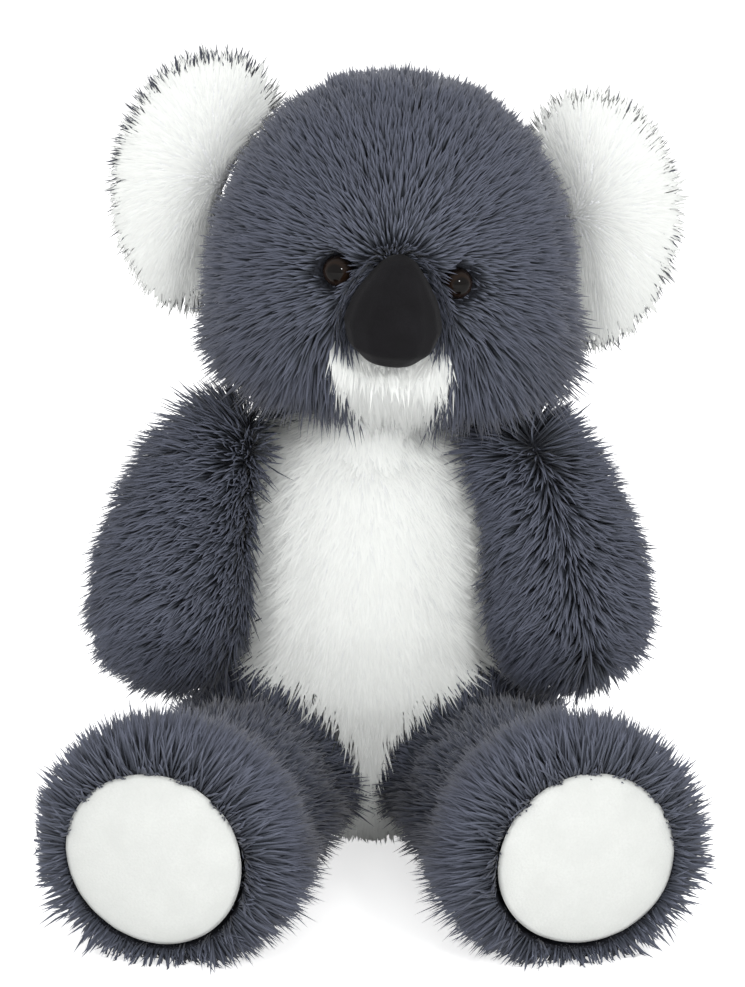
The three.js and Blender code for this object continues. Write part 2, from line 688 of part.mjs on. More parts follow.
// The sole's axis is the leg's, raised to a little below the middle of the foot.
function soleMatrix() {
  return legMatrix().multiply(new THREE.Matrix4().makeTranslation(0, FOOT_HEIGHT / 2 - LEG_ROOT_RADIUS - PAD_DROP, 0));
}

function addMeshes(group, pieces) {
  for (const [name, [geometry, finish]] of Object.entries(pieces)) {
    const mesh = new THREE.Mesh(geometry, new THREE.MeshStandardMaterial(finish));
    mesh.name = name;
    group.add(mesh);
  }
}

const body = new THREE.Group();
addMeshes(body, makeTorso());
addMeshes(body, makeArms());
addMeshes(body, makeLegs());

const neck = new THREE.Group();
neck.position.copy(NECK);
addMeshes(neck, makeNeck());

const head = new THREE.Group();
head.position.copy(NECK);
head.rotation.set(0, THREE.MathUtils.degToRad(HEAD_TILT_DEG), THREE.MathUtils.degToRad(HEAD_TURN_DEG));
addMeshes(head, makeHead());
addMeshes(head, makeNose());
addMeshes(head, makeEyes());
addMeshes(head, makeEars());

const koala = new THREE.Group();
koala.add(body, neck, head);

// The origin lies on the floor under the middle of the whole toy.
koala.updateMatrixWorld(true);
const middle = new THREE.Box3().setFromObject(koala, true).getCenter(new THREE.Vector3());
koala.position.set(-middle.x, -middle.y, 0);

export default koala;
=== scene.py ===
"""A sitting plush koala in long pile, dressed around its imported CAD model."""

import json
import math

import bpy
import numpy as np
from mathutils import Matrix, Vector
from mathutils.bvhtree import BVHTree


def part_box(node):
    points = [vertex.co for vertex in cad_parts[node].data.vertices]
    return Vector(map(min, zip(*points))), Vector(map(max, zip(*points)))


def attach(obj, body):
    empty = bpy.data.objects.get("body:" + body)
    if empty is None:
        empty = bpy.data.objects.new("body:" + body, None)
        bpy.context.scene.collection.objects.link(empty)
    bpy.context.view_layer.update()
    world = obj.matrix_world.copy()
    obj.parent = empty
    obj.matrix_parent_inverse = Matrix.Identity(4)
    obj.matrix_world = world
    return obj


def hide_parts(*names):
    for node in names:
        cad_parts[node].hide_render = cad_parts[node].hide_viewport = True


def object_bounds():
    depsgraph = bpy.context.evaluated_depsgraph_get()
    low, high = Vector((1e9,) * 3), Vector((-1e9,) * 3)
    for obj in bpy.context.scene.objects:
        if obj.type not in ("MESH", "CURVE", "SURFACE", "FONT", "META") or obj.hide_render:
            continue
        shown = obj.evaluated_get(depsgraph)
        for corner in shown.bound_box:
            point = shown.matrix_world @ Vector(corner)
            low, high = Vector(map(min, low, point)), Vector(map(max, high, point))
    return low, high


bl_info = {
    "name": "Plush koala",
    "version": (1, 0, 0),
    "blender": (4, 5, 0),
    "location": "View3D > Sidebar > Koala",
    "description": "Skins, pile, soles and face of a sitting plush koala",
    "category": "Add Mesh",
}

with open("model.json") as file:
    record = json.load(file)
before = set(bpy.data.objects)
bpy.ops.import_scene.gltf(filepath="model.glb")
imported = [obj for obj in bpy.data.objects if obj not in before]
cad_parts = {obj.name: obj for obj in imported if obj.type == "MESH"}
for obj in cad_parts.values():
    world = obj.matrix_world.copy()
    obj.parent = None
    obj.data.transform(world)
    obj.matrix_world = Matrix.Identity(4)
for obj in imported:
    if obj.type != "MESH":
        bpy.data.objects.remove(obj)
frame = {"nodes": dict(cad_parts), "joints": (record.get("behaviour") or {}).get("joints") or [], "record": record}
CAD_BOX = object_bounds()
MM = 0.001
UP = np.array((0.0, 0.0, 1.0))
SIDES = ("left", "right")

# each body's covers, in the order of the panel numbers that its skin carries
COVERS = {
    "torso": ("torso_back_left", "torso_back_right", "belly_panel"),
    "head": ("head_side_left", "head_side_right", "head_gusset", "muzzle_panel"),
    "ear_left": ("ear_front_left", "ear_back_left"),
    "ear_right": ("ear_front_right", "ear_back_right"),
    "arm_left": ("arm_outer_left", "arm_inner_left"),
    "arm_right": ("arm_outer_right", "arm_inner_right"),
    "leg_left": ("leg_upper_left", "leg_lower_left"),
    "leg_right": ("leg_upper_right", "leg_lower_right"),
}
WHITE_COVERS = ("belly_panel", "muzzle_panel", "ear_front_left", "ear_front_right")
# which way from an ear's middle its grey back shows past the rim
EAR_FRINGES = {"left": (0.5, 0, -0.86), "right": (-0.5, 0, 0.86)}
# how far the next cover's pile is brushed over the edge of a cover
BRUSHED = {"muzzle_panel": 12 * MM, "torso_back": 9 * MM, "ear_back": 6 * MM}
# how far the locks' normals are turned to the skin's, as loose fibres scatter light, white ones most
SOFTNESS = {"white": 0.75, "grey": 0.45}
# no pile is planted nearer than this to another body, and all of it from the second distance on
CLEARANCE = (1.2 * MM, 2.2 * MM)
FLOOR_GAP = 0.3 * MM
SEED = 20
JOINTS = {joint["name"]: np.array(joint["pos_m"]) for joint in frame["joints"]}

# the soft lamps: place, power in watts and side in metres; only the glint is mirrored in the eyes
LAMPS = {
    "key": ((1.0, -1.5, 0.75), 6.5, 1.4),
    "fill": ((-1.1, -1.5, 0.7), 9.5, 1.4),
    "top": ((0.0, 0.2, 1.7), 3.0, 1.0),
    "low": ((0.0, -1.7, 0.3), 1.8, 0.6),
    "back": ((-0.4, 1.8, 1.0), 7.0, 1.4),
    "glint": ((0.5, -1.2, 0.8), 4.5, 0.14),
}
# strength of the room's light, which the camera sees as 1, and of the floor's glow, which only it sees
ROOM_LIGHT, FLOOR_LIGHT = 0.7, 0.63
# the camera looks down a little on the middle of the toy, from far off; its lens is given in
# pixels of the photograph's height
AIM = Vector((-0.0012, 0.0361, 0.164))
CAMERA_RISE, CAMERA_DISTANCE = math.radians(14), 1.6
LENS_PIXELS, FRAME_HEIGHT, SENSOR = 3595.5, 987, 36


# -------------------- settings


def linear(code):
    """An sRGB hex colour as linear RGBA."""
    parts = [int(code[i : i + 2], 16) / 255 for i in (1, 3, 5)]
    return [c / 12.92 if c <= 0.04045 else ((c + 0.055) / 1.055) ** 2.4 for c in parts] + [1.0]


def size(name, description, mm):
    return bpy.props.FloatProperty(
        name=name, description=description, default=mm * MM, min=0.0, unit="LENGTH", subtype="DISTANCE"
    )


def colour(name, description, code):
    return bpy.props.FloatVectorProperty(
        name=name, description=description, default=linear(code), size=4, min=0.0, max=1.0, subtype="COLOR"
    )


class PileSizes(bpy.types.PropertyGroup):
    """Sizes of the pile and of the skins that carry it"""

    depth: size("Skin depth", "How far the knitted backing lies below the pile's mean surface", 5)
    voxel: size("Skin mesh", "Size of the skin's faces", 3.5)
    spacing: size("Spacing", "Least distance between two locks of pile", 1.0)
    width: size("Lock width", "Width of a lock of pile at its thickest", 1.05)
    tuft: size("Tuft size", "Size of the tufts that the pile parts into", 9)
    proud: size("Room", "How far the pile may stand out of the CAD box", 8.5)
    head: size("Head pile", "Length of the pile on the head", 14)
    body: size("Body pile", "Length of the pile on the back, arms and legs", 16)
    belly: size("Belly pile", "Length of the white pile on the belly", 16)
    ear: size("Ear pile", "Length of the pile on the ears", 13)
    muzzle: size("Muzzle pile", "Length of the white pile under the nose", 12)


class PileColours(bpy.types.PropertyGroup):
    """Colours of the pile, from root to tip: painted shade darkens the roots, and painted light brightens the grey
    tips
    """

    # over the dyed colour, the roots carry painted shade and the grey tips painted light
    grey_root_dye_and_shade: colour("Grey root", "Dyed grey pile at the backing", "#212329")
    grey_middle: colour("Grey middle", "Dyed grey pile half way up", "#3c4049")
    grey_tip_dye_and_light: colour("Grey tip", "Dyed grey pile at the tips", "#656979")
    white_root_dye_and_shade: colour("White root", "Bleached white pile at the backing", "#dcdedd")
    white_tip: colour("White tip", "Bleached white pile at the tips", "#e7e9e6")


class FaceSizes(bpy.types.PropertyGroup):
    """Sizes and colours of the eyes, nose and soles"""

    eye: size("Eye diameter", "Diameter of the moulded eye", 14)
    dome: size("Eye dome", "Height of the moulded eye's dome", 7)
    sole: size("Sole diameter", "Diameter of the smooth sole", 75)
    crown: size("Sole crown", "How far the filled sole swells", 6)
    iris: colour("Iris", "Brown tint inside the moulded eye", "#20150e")
    velvet: colour("Velvet", "Nose velvet", "#0f0e10")
    plush: colour("Sole plush", "Short smooth plush of the soles", "#d5d7d4")


# -------------------- meshes


def rows_of(items, field):
    flat = np.empty(len(items) * 3, np.float32)
    items.foreach_get(field, flat)
    return flat.reshape(-1, 3).astype(float)


def coordinates(mesh):
    return rows_of(mesh.vertices, "co")


def unit(vectors):
    lengths = np.linalg.norm(vectors, axis=-1, keepdims=True)
    return vectors / np.maximum(lengths, 1e-9)


def along_skin(vectors, out):
    """The part of each vector that runs along the skin, at length 1 where there is one."""
    flat = unit(vectors)
    flat = flat - out * (flat * out).sum(1, keepdims=True)
    lengths = np.linalg.norm(flat, axis=1, keepdims=True)
    return flat / np.maximum(lengths, 0.25)


def steered(way, toward, share):
    """The way at each point, turned towards another by a share."""
    share = share[:, None]
    return way * (1 - share) + toward * share


def ramp(values, low, high):
    """0 below low, 1 above high, and smooth between."""
    t = np.clip((values - low) / (high - low), 0, 1)
    return t * t * (3 - 2 * t)


def pieces_of(names):
    """Points and triangles of some CAD nodes, as one copy."""
    points, faces = [], []
    for name in names:
        mesh = frame["nodes"][name].data
        faces += [[len(points) + v for v in polygon.vertices] for polygon in mesh.polygons]
        points += coordinates(mesh).tolist()
    return points, faces


def reach_to(names, points):
    """How far each point is from the nearest face of some CAD nodes."""
    tree = BVHTree.FromPolygons(*pieces_of(names))
    return np.array([tree.find_nearest(p)[3] for p in points.tolist()])


def new_mesh(name, points, faces):
    mesh = bpy.data.meshes.new(name)
    faces = [list(map(int, face)) for face in faces]
    mesh.from_pydata(np.asarray(points).tolist(), [], faces, shade_flat=False)
    mesh.update()
    return mesh


def carry(mesh, name, values, kind="FLOAT", domain="POINT"):
    """Stores values on a mesh as an attribute."""
    field = "value" if kind in ("FLOAT", "INT") else "vector"
    mesh.attributes.new(name, kind, domain).data.foreach_set(field, np.ravel(values))


def new_object(name, mesh):
    piece = bpy.data.objects.new(name, mesh)
    bpy.context.scene.collection.objects.link(piece)
    return piece


def new_piece(name, points, faces, material):
    """An object of one finish."""
    mesh = new_mesh(name, points, faces)
    mesh.materials.append(material)
    return new_object(name, mesh)


def made_plain(piece):
    """The evaluated mesh of an object, as a mesh of its own. The object is removed."""
    depsgraph = bpy.context.evaluated_depsgraph_get()
    mesh = bpy.data.meshes.new_from_object(
        piece.evaluated_get(depsgraph), preserve_all_data_layers=True, depsgraph=depsgraph
    )
    old = piece.data
    bpy.data.objects.remove(piece)
    bpy.data.meshes.remove(old)
    return mesh


def largest_island(points, faces):
    """A remesh may leave small shells inside the form; only the largest one is kept."""
    owner = np.arange(len(points))
    edges = np.vstack([faces[:, [0, 1]], faces[:, [1, 2]], faces[:, [2, 3]], faces[:, [3, 0]]])
    while True:
        low = np.minimum(owner[edges[:, 0]], owner[edges[:, 1]])
        new = owner.copy()
        np.minimum.at(new, edges[:, 0], low)
        np.minimum.at(new, edges[:, 1], low)
        new = new[new]
        if (new == owner).all():
            break
        owner = new
    counts = np.bincount(owner)
    kept = owner == counts.argmax()
    index = np.cumsum(kept) - 1
    return points[kept], index[faces[kept[faces[:, 0]]]]


def smoothed(points, faces, rounds, shrink=False):
    """Rounds of smoothing that keep the form's size, or let it shrink."""
    edges = np.vstack([faces[:, [i, (i + 1) % faces.shape[1]]] for i in range(faces.shape[1])])
    degree = np.bincount(edges.ravel(), minlength=len(points))[:, None]
    for _ in range(rounds):
        for factor in (0.5,) if shrink else (0.5, -0.52):
            total = np.zeros_like(points)
            for axis in range(3):
                total[:, axis] = np.bincount(
                    edges[:, 0], points[edges[:, 1], axis], len(points)
                ) + np.bincount(edges[:, 1], points[edges[:, 0], axis], len(points))
            points = points + factor * (total / degree - points)
    return points


def closed_form(name, nodes, voxel, rounds):
    """One closed, even mesh over some CAD nodes, with their facets smoothed out."""
    source = new_object(name, new_mesh(name, *pieces_of(nodes)))
    remesh = source.modifiers.new("Even mesh", "REMESH")
    remesh.mode = "VOXEL"
    remesh.voxel_size = voxel
    mesh = made_plain(source)
    faces = np.array([list(p.vertices) for p in mesh.polygons])
    points, faces = largest_island(coordinates(mesh), faces)
    bpy.data.meshes.remove(mesh)
    return smoothed(points, faces, rounds), faces


# -------------------- nodes and finishes

MATH, VECTOR_MATH, STORE = "ShaderNodeMath", "ShaderNodeVectorMath", "GeometryNodeStoreNamedAttribute"


def add(tree, kind, inputs=None, settings=None):
    """Adds a node with its settings, or its operation, and fills or links its inputs by name or place."""
    node = tree.nodes.new(kind)
    if isinstance(settings, str):
        settings = {"operation": settings}
    for key, value in (settings or {}).items():
        setattr(node, key, value)
    for key, value in (inputs or {}).items():
        if isinstance(key, int):
            socket = node.inputs[key]
        else:
            socket = next(s for s in node.inputs if s.name == key and s.enabled)
        if isinstance(value, bpy.types.Node):
            value = next(s for s in value.outputs if s.enabled)
        if isinstance(value, bpy.types.NodeSocket):
            tree.links.new(value, socket)
        else:
            socket.default_value = value
    return node


def new_material(name):
    """A node material and its empty tree."""
    material = bpy.data.materials.new(name)
    material.use_nodes = True
    material.node_tree.nodes.clear()
    return material, material.node_tree


def set_ramp(node, stops):
    """Fills a colour ramp with (place, colour) stops."""
    elements = node.color_ramp.elements
    while len(elements) > 1:
        elements.remove(elements[-1])
    elements[0].position, elements[0].color = stops[0]
    for place, value in stops[1:]:
        elements.new(place).color = value


def pile_material(name, stops, spread, sheen):
    """Polyester pile, cut and brushed into locks: darkened with painted shade towards the backing,
    where the locks crowd, paler and soft at the loose tips, with painted light on the grey tips, and
    no two locks quite the same."""
    material, tree = new_material(name)
    along = add(tree, "ShaderNodeAttribute", None, {"attribute_name": "along"})
    shade = add(tree, "ShaderNodeAttribute", None, {"attribute_name": "shade"})
    # along each lock: painted shade towards the root, and paler tips, with painted light on the grey
    tone = add(tree, "ShaderNodeValToRGB", {"Fac": along.outputs["Fac"]})
    set_ramp(tone, stops)
    value = add(tree, "ShaderNodeMapRange", {0: shade.outputs["Fac"], 3: 1 - spread, 4: 1 + spread})
    varied = add(tree, "ShaderNodeHueSaturation", {"Color": tone, "Value": value})
    look = {"Base Color": varied, "Roughness": 0.6, "Specular IOR Level": 0.3}
    look |= {"Sheen Weight": sheen, "Sheen Roughness": 0.4}
    add(tree, "ShaderNodeOutputMaterial", {"Surface": add(tree, "ShaderNodeBsdfPrincipled", look)})
    return material


def backing_material(name, low, high):
    """Knitted backing of pile fabric, dyed with its pile: fine loops, matt, and painted shade darker between them.
    """
    material, tree = new_material(name)
    loop = 1.2 * MM
    place = add(tree, "ShaderNodeTexCoord").outputs["Object"]
    loops = add(tree, "ShaderNodeTexVoronoi", {"Vector": place, "Scale": 1 / loop})
    # painted shade: the high colour on the loops, the low one between them
    tone = add(tree, "ShaderNodeValToRGB", {"Fac": loops})
    set_ramp(tone, [(0.1, high), (0.9, low)])
    bump = add(tree, "ShaderNodeBump", {"Height": loops, "Distance": 0.3 * MM})
    look = {"Base Color": tone, "Normal": bump, "Roughness": 0.9, "Specular IOR Level": 0.2}
    add(tree, "ShaderNodeOutputMaterial", {"Surface": add(tree, "ShaderNodeBsdfPrincipled", look)})
    return material


def short_pile_material(name, base, light, grain, sheen):
    """Short dense pile, such as velvet or smooth plush: fine grain, and a soft pale rim from its tips."""
    material, tree = new_material(name)
    stroke = 14 * MM
    place = add(tree, "ShaderNodeTexCoord").outputs["Object"]
    tips = add(tree, "ShaderNodeTexNoise", {"Vector": place, "Scale": 1 / grain, "Detail": 3.0})
    brushed = add(tree, "ShaderNodeTexNoise", {"Vector": place, "Scale": 1 / stroke})
    blend = add(tree, MATH, {0: tips, 1: brushed}, "MULTIPLY")
    tone = add(tree, "ShaderNodeValToRGB", {"Fac": blend})
    set_ramp(tone, [(0.1, base), (0.42, light)])
    bump = add(tree, "ShaderNodeBump", {"Height": tips, "Distance": 0.35 * MM, "Strength": 0.5})
    look = {"Base Color": tone, "Normal": bump, "Roughness": 0.85}
    look |= {"Specular IOR Level": 0.2, "Sheen Weight": sheen, "Sheen Roughness": 0.35}
    add(tree, "ShaderNodeOutputMaterial", {"Surface": add(tree, "ShaderNodeBsdfPrincipled", look)})
    return material


def finishes():
    """The pile and backing finishes, made once and kept by name."""
    if "Grey polyester pile" not in bpy.data.materials:
        tones = bpy.context.scene.koala_colours
        # from the painted shade of the roots to the paler tips, which on the grey carry painted light
        grey = [(0.0, tones.grey_root_dye_and_shade), (0.4, tones.grey_middle), (0.95, tones.grey_tip_dye_and_light)]
        white = [(0.0, tones.white_root_dye_and_shade), (0.6, tones.white_tip)]
        pile_material("Grey polyester pile", grey, 0.3, 0.15)
        pile_material("White polyester pile", white, 0.05, 0.1)
        # in each backing the first colour is painted shade between the loops, the second the loops themselves
        backing_material("Grey knitted backing", linear("#15161a"), linear("#2a2c33"))
        backing_material("White knitted backing", linear("#d8dadc"), linear("#eeefef"))
    return bpy.data.materials


# -------------------- pile


def lock_object():
    """One lock of pile: a three-sided closed taper, one unit long and wide, flatter towards the
    skin than across it, with its own map."""
    # height and width of the root and of the thickest ring, and how flat they are
    rings, flat = ((0.0, 0.75), (0.62, 1.0)), 0.6
    points, faces, corners = [], [], []
    for height, width in rings:
        for side in range(3):
            turn = 2 * math.pi * (side + 0.5) / 3
            points.append((flat * width / 2 * math.cos(turn), width / 2 * math.sin(turn), height))
    points.append((0.0, 0.0, 1.0))
    # on the map, the sides stand in a row of strips above the root's small triangle
    low, high, margin, pitch, strip = 0.16, 0.94, 0.06, 0.3, 0.26
    waist = low + (high - low) * rings[1][0]
    for side in range(3):
        after, left = (side + 1) % 3, margin + side * pitch
        right = left + strip
        faces += [(side, after, after + 3, side + 3), (side + 3, after + 3, 6)]
        corners += [(left, low), (right, low), (right, waist), (left, waist)]
        corners += [(left, waist), (right, waist), ((left + right) / 2, high)]
    faces.append((2, 1, 0))
    corners += [(0.1, 0.03), (0.9, 0.03), (0.5, 0.13)]
    mesh = new_mesh("lock", points, faces)
    carry(mesh, "along", [height for _, _, height in points])
    carry(mesh, "cell", corners, "FLOAT2", "CORNER")
    return new_object("lock", mesh)


PILE_INPUTS = {
    "Geometry": ("Skin",),
    "Object": ("Lock",),
    "Material": ("Material",),
    "Int": ("Panel", "Seed"),
    "Float": ("Spacing", "Length", "Width", "Tuft", "Tuft size", "Stray", "Curl", "Droop", "Softness"),
    "Vector": ("Lowest", "Highest"),
}


def pile_tree():
    """Geometry Nodes that plant locks of pile over one panel of a skin, lean them the way the skin
    is combed, part them into tufts, curl them, and give each lock a cell of the bake map."""
    tree = bpy.data.node_groups.new("Pile", "GeometryNodeTree")
    for kind, names in PILE_INPUTS.items():
        for name in names:
            tree.interface.new_socket(name, in_out="INPUT", socket_type=f"NodeSocket{kind}")
    tree.interface.new_socket("Pile", in_out="OUTPUT", socket_type="NodeSocketGeometry")
    given = add(tree, "NodeGroupInput").outputs
    vector, number, whole = {"data_type": "FLOAT_VECTOR"}, {"data_type": "FLOAT"}, {"data_type": "INT"}
    # what the skin and the locks carry
    held = {}
    for kind, names in (
        (whole, ("panel", "number")),
        (number, ("cover", "pile", "reach", "along", "sunk")),
        (vector, ("grow", "out", "bend", "cell")),
    ):
        for name in names:
            held[name] = add(tree, "GeometryNodeInputNamedAttribute", {"Name": name}, kind)
    # what is drawn at random for each lock
    drawn = {}
    for name, kind, low, high, seed in (
        ("length", number, 0.72, 1.12, 3),
        ("stray", vector, (-1, -1, -1), (1, 1, 1), 5),
        ("width", number, 0.75, 1.2, 7),
        ("shade", number, 0.0, 1.0, 11),
        ("curl", vector, (-1, -1, -1), (1, 1, 1), 13),
    ):
        drawn[name] = add(tree, "FunctionNodeRandomValue", {"Min": low, "Max": high, "Seed": seed}, kind)

    equal = {**whole, "operation": "EQUAL"}
    own = add(tree, "FunctionNodeCompare", {"A": held["panel"], "B": given["Panel"]}, equal)
    area = add(tree, MATH, {0: given["Spacing"], 1: given["Spacing"]}, "MULTIPLY")
    # far more points than fit at the least distance, so that the pile is as dense as it may be
    most = add(tree, MATH, {0: 3.0, 1: area}, "DIVIDE")
    planting = {"Mesh": given["Skin"], "Selection": own, "Seed": given["Seed"]}
    planting |= {"Distance Min": given["Spacing"], "Density Max": most, "Density Factor": held["cover"]}
    roots = add(tree, "GeometryNodeDistributePointsOnFaces", planting, {"distribute_method": "POISSON"})
    # length of each lock
    grown = add(tree, MATH, {0: held["pile"], 1: drawn["length"]}, "MULTIPLY")
    reach = add(tree, MATH, {0: grown, 1: given["Length"]}, "MULTIPLY")
    tagged = {"Geometry": roots.outputs["Points"], "Name": "reach", "Value": reach}
    sized = add(tree, STORE, tagged, {**number, "domain": "POINT"})
    # direction of each lock: as combed, parted into tufts, and a little astray
    place = add(tree, "GeometryNodeInputPosition")
    pitch = add(tree, MATH, {0: 1.0, 1: given["Tuft size"]}, "DIVIDE")
    swirl = add(tree, "ShaderNodeTexNoise", {"Vector": place, "Scale": pitch, "Detail": 2, "Roughness": 0.6})
    centred = add(tree, VECTOR_MATH, {0: swirl.outputs["Color"], 1: (0.5, 0.5, 0.5)}, "SUBTRACT")
    tuft = add(tree, VECTOR_MATH, {0: centred, "Scale": given["Tuft"]}, "SCALE")
    stray = add(tree, VECTOR_MATH, {0: drawn["stray"], "Scale": given["Stray"]}, "SCALE")
    parted = add(tree, VECTOR_MATH, {0: held["grow"], 1: tuft}, "ADD")
    aim = add(tree, VECTOR_MATH, {0: parted, 1: stray}, "ADD")
    turned = add(tree, "FunctionNodeAlignRotationToVector", {"Vector": aim}, {"axis": "Z"})
    # the flat side of each lock faces out, give or take some 20 degrees
    slight = add(tree, VECTOR_MATH, {0: drawn["stray"], "Scale": 0.35}, "SCALE")
    rolled_to = add(tree, VECTOR_MATH, {0: held["out"], 1: slight}, "ADD")
    roll, about = {"Rotation": turned, "Vector": rolled_to}, {"axis": "X", "pivot_axis": "Z"}
    rolled = add(tree, "FunctionNodeAlignRotationToVector", roll, about)
    # one lock at each root
    lock = add(tree, "GeometryNodeObjectInfo", {"Object": given["Lock"]})
    width = add(tree, MATH, {0: given["Width"], 1: drawn["width"]}, "MULTIPLY")
    scale = add(tree, "ShaderNodeCombineXYZ", {0: width, 1: width, 2: held["reach"]})
    each = {"Points": sized, "Instance": lock.outputs["Geometry"], "Rotation": rolled, "Scale": scale}
    carried = add(tree, "GeometryNodeInstanceOnPoints", each)
    # what each lock carries: its number, its shade and how it bends
    shade = add(tree, "ShaderNodeMix", {"Factor": 0.5, "A": drawn["shade"], "B": swirl}, number)
    curled = add(tree, VECTOR_MATH, {0: drawn["curl"], "Scale": given["Curl"]}, "SCALE")
    droop = add(tree, VECTOR_MATH, {0: -UP, "Scale": given["Droop"]}, "SCALE")
    both = add(tree, VECTOR_MATH, {0: curled, 1: droop}, "ADD")
    bend = add(tree, VECTOR_MATH, {0: both, "Scale": held["reach"]}, "SCALE")
    for name, kind, value in (
        ("number", whole, add(tree, "GeometryNodeInputIndex")),
        ("shade", number, shade),
        ("bend", vector, bend),
    ):
        tagged = {"Geometry": carried, "Name": name, "Value": value}
        carried = add(tree, STORE, tagged, {**kind, "domain": "INSTANCE"})
    real = add(tree, "GeometryNodeRealizeInstances", {"Geometry": carried})
    # bend the locks, and keep them above the floor and inside the room that the pile may take
    along = held["along"]
    squared = add(tree, MATH, {0: along, 1: along}, "MULTIPLY")
    shift = add(tree, VECTOR_MATH, {0: held["bend"], "Scale": squared}, "SCALE")
    moved = add(tree, VECTOR_MATH, {0: place, 1: shift}, "ADD")
    above = add(tree, VECTOR_MATH, {0: moved, 1: given["Lowest"]}, "MAXIMUM")
    final = add(tree, VECTOR_MATH, {0: above, 1: given["Highest"]}, "MINIMUM")
    shaped = add(tree, "GeometryNodeSetPosition", {"Geometry": real, "Position": final})
    # light each lock partly as the skin it lies on, as fine loose fibres are lit
    facet = add(tree, "GeometryNodeInputNormal")
    blend = {"Factor": given["Softness"], "A": facet, "B": held["out"]}
    soft = add(tree, "ShaderNodeMix", blend, {"data_type": "VECTOR"})
    lit = add(tree, "GeometryNodeSetMeshNormal", {"Mesh": shaped, "Custom Normal": soft}, {"mode": "FREE"})
    # a cell of the bake map for each lock, in rows of a square
    count = add(tree, "GeometryNodeAttributeDomainSize", {"Geometry": carried}, {"component": "INSTANCES"})
    root = add(tree, MATH, {0: count.outputs["Instance Count"]}, "SQRT")
    row = add(tree, MATH, {0: root}, "CEIL")
    column = add(tree, MATH, {0: held["number"], 1: row}, "MODULO")
    rows = add(tree, MATH, {0: held["number"], 1: row}, "DIVIDE")
    line = add(tree, MATH, {0: rows}, "FLOOR")
    corner = add(tree, "ShaderNodeCombineXYZ", {0: column, 1: line})
    spot = add(tree, VECTOR_MATH, {0: corner, 1: held["cell"]}, "ADD")
    shrink = add(tree, MATH, {0: 1.0, 1: row}, "DIVIDE")
    mapped = add(tree, VECTOR_MATH, {0: spot, "Scale": shrink}, "SCALE")
    tagged = {"Geometry": lit, "Name": "OFBake", "Value": mapped}
    laid_out = add(tree, STORE, tagged, {"data_type": "FLOAT2", "domain": "CORNER"})
    # round a sole the locks start at the skin's surface, so their painted root shade is lifted: no darker than
    # half way up the ramp
    root_shade_lift = add(tree, MATH, {0: held["sunk"], 1: -0.5, 2: 0.5}, "MULTIPLY_ADD")
    less_root_shade = add(tree, MATH, {0: along, 1: root_shade_lift}, "MAXIMUM")
    tagged = {"Geometry": laid_out, "Name": "along", "Value": less_root_shade}
    toned = add(tree, STORE, tagged, {**number, "domain": "POINT"})
    dyed = add(tree, "GeometryNodeSetMaterial", {"Geometry": toned, "Material": given["Material"]})
    add(tree, "NodeGroupOutput", {0: dyed})
    return tree


PILE_KEPT = ("along", "shade", "OFBake", "custom_normal", "material_index", "sharp_face")


def planted(name, skin, values):
    """The pile of one panel, as a plain mesh in its own object."""
    tree = bpy.data.node_groups.get("Pile") or pile_tree()
    lock = bpy.data.objects.get("lock") or lock_object()
    holder = new_object(name + "_roots", skin.copy())
    grower = holder.modifiers.new("Pile", "NODES")
    grower.node_group = tree
    sockets = {item.name: item.identifier for item in tree.interface.items_tree if item.in_out == "INPUT"}
    for key, value in {"Lock": lock, **values}.items():
        grower[sockets[key]] = value
    mesh = made_plain(holder)
    for extra in [a.name for a in mesh.attributes if not a.is_internal and not a.is_required]:
        if extra not in PILE_KEPT:
            mesh.attributes.remove(mesh.attributes[extra])
    mesh.name = name
    return new_object(name, mesh)


def fringe_at(side, points):
    """1 where the grey pile shows past an ear's rim, and 0 where the white pile hides it."""
    heart = middle(f"ear_front_{side}", f"ear_back_{side}")
    return ramp(unit(points - heart) @ np.array(EAR_FRINGES[side]), 0.15, 0.65)


def covered_by(cover, points):
    """How far the next cover's pile is brushed over the edge of this one: the cheeks' over the
    muzzle's corners, the belly's over the back at the shoulders, and an ear's white pile round its
    rim where no grey shows."""
    height = points[:, 2]
    if cover == "muzzle_panel":
        # widest just under the nose's middle, and narrower down to the chin
        nose = middle("nose_cover")
        widest = nose[2] - 15 * MM
        half = 27 * MM - 9 * MM * ramp(widest - height, 6 * MM, 30 * MM)
        beside = ramp(np.abs(points[:, 0] - nose[0]), half, half + 2 * MM)
        return BRUSHED[cover] * np.maximum(ramp(height, widest, widest + 2 * MM), beside)
    if cover.startswith("torso_back"):
        return BRUSHED["torso_back"] * ramp(height, 150 * MM, 160 * MM)
    if cover.startswith("ear_back"):
        return BRUSHED["ear_back"] * (1 - fringe_at(cover.split("_")[-1], points))
    return 0


def combed_skin(body, points, faces, depth, comb):
    """A body's skin as a mesh, below its form by depth, carrying what its pile needs: which panel
    each face belongs to, and at each point the way out, the way the pile grows, its length, how
    deep the skin lies and how thickly it is covered."""
    name = f"{body}_skin"
    form = new_mesh(name + "_form", points, faces)
    out = rows_of(form.vertex_normals, "vector")
    bpy.data.meshes.remove(form)
    middles = points[faces].mean(1)
    reaches = [reach_to([cover], middles) + covered_by(cover, middles) for cover in COVERS[body]]
    panel = np.argmin(reaches, axis=0)
    bodies = frame["record"]["behaviour"]["bodies"]
    others = [node for other, nodes in bodies.items() if other != body for node in nodes]
    near = reach_to(others, points)
    lean, way, pile, cover, sink = comb(points, out)
    sink = np.broadcast_to(sink, len(points))
    grow = out * np.sin(lean)[:, None] + along_skin(way, out) * np.cos(lean)[:, None]
    sunk = smoothed(points - out * (depth * sink)[:, None], faces, 3, shrink=True)
    mesh = new_mesh(name, sunk, faces)
    carry(mesh, "out", out, "FLOAT_VECTOR")
    carry(mesh, "grow", grow, "FLOAT_VECTOR")
    carry(mesh, "pile", pile)
    carry(mesh, "sunk", sink)
    carry(mesh, "cover", cover * ramp(near, *CLEARANCE))
    carry(mesh, "panel", panel.astype(np.int32), "INT", "FACE")
    return mesh, panel


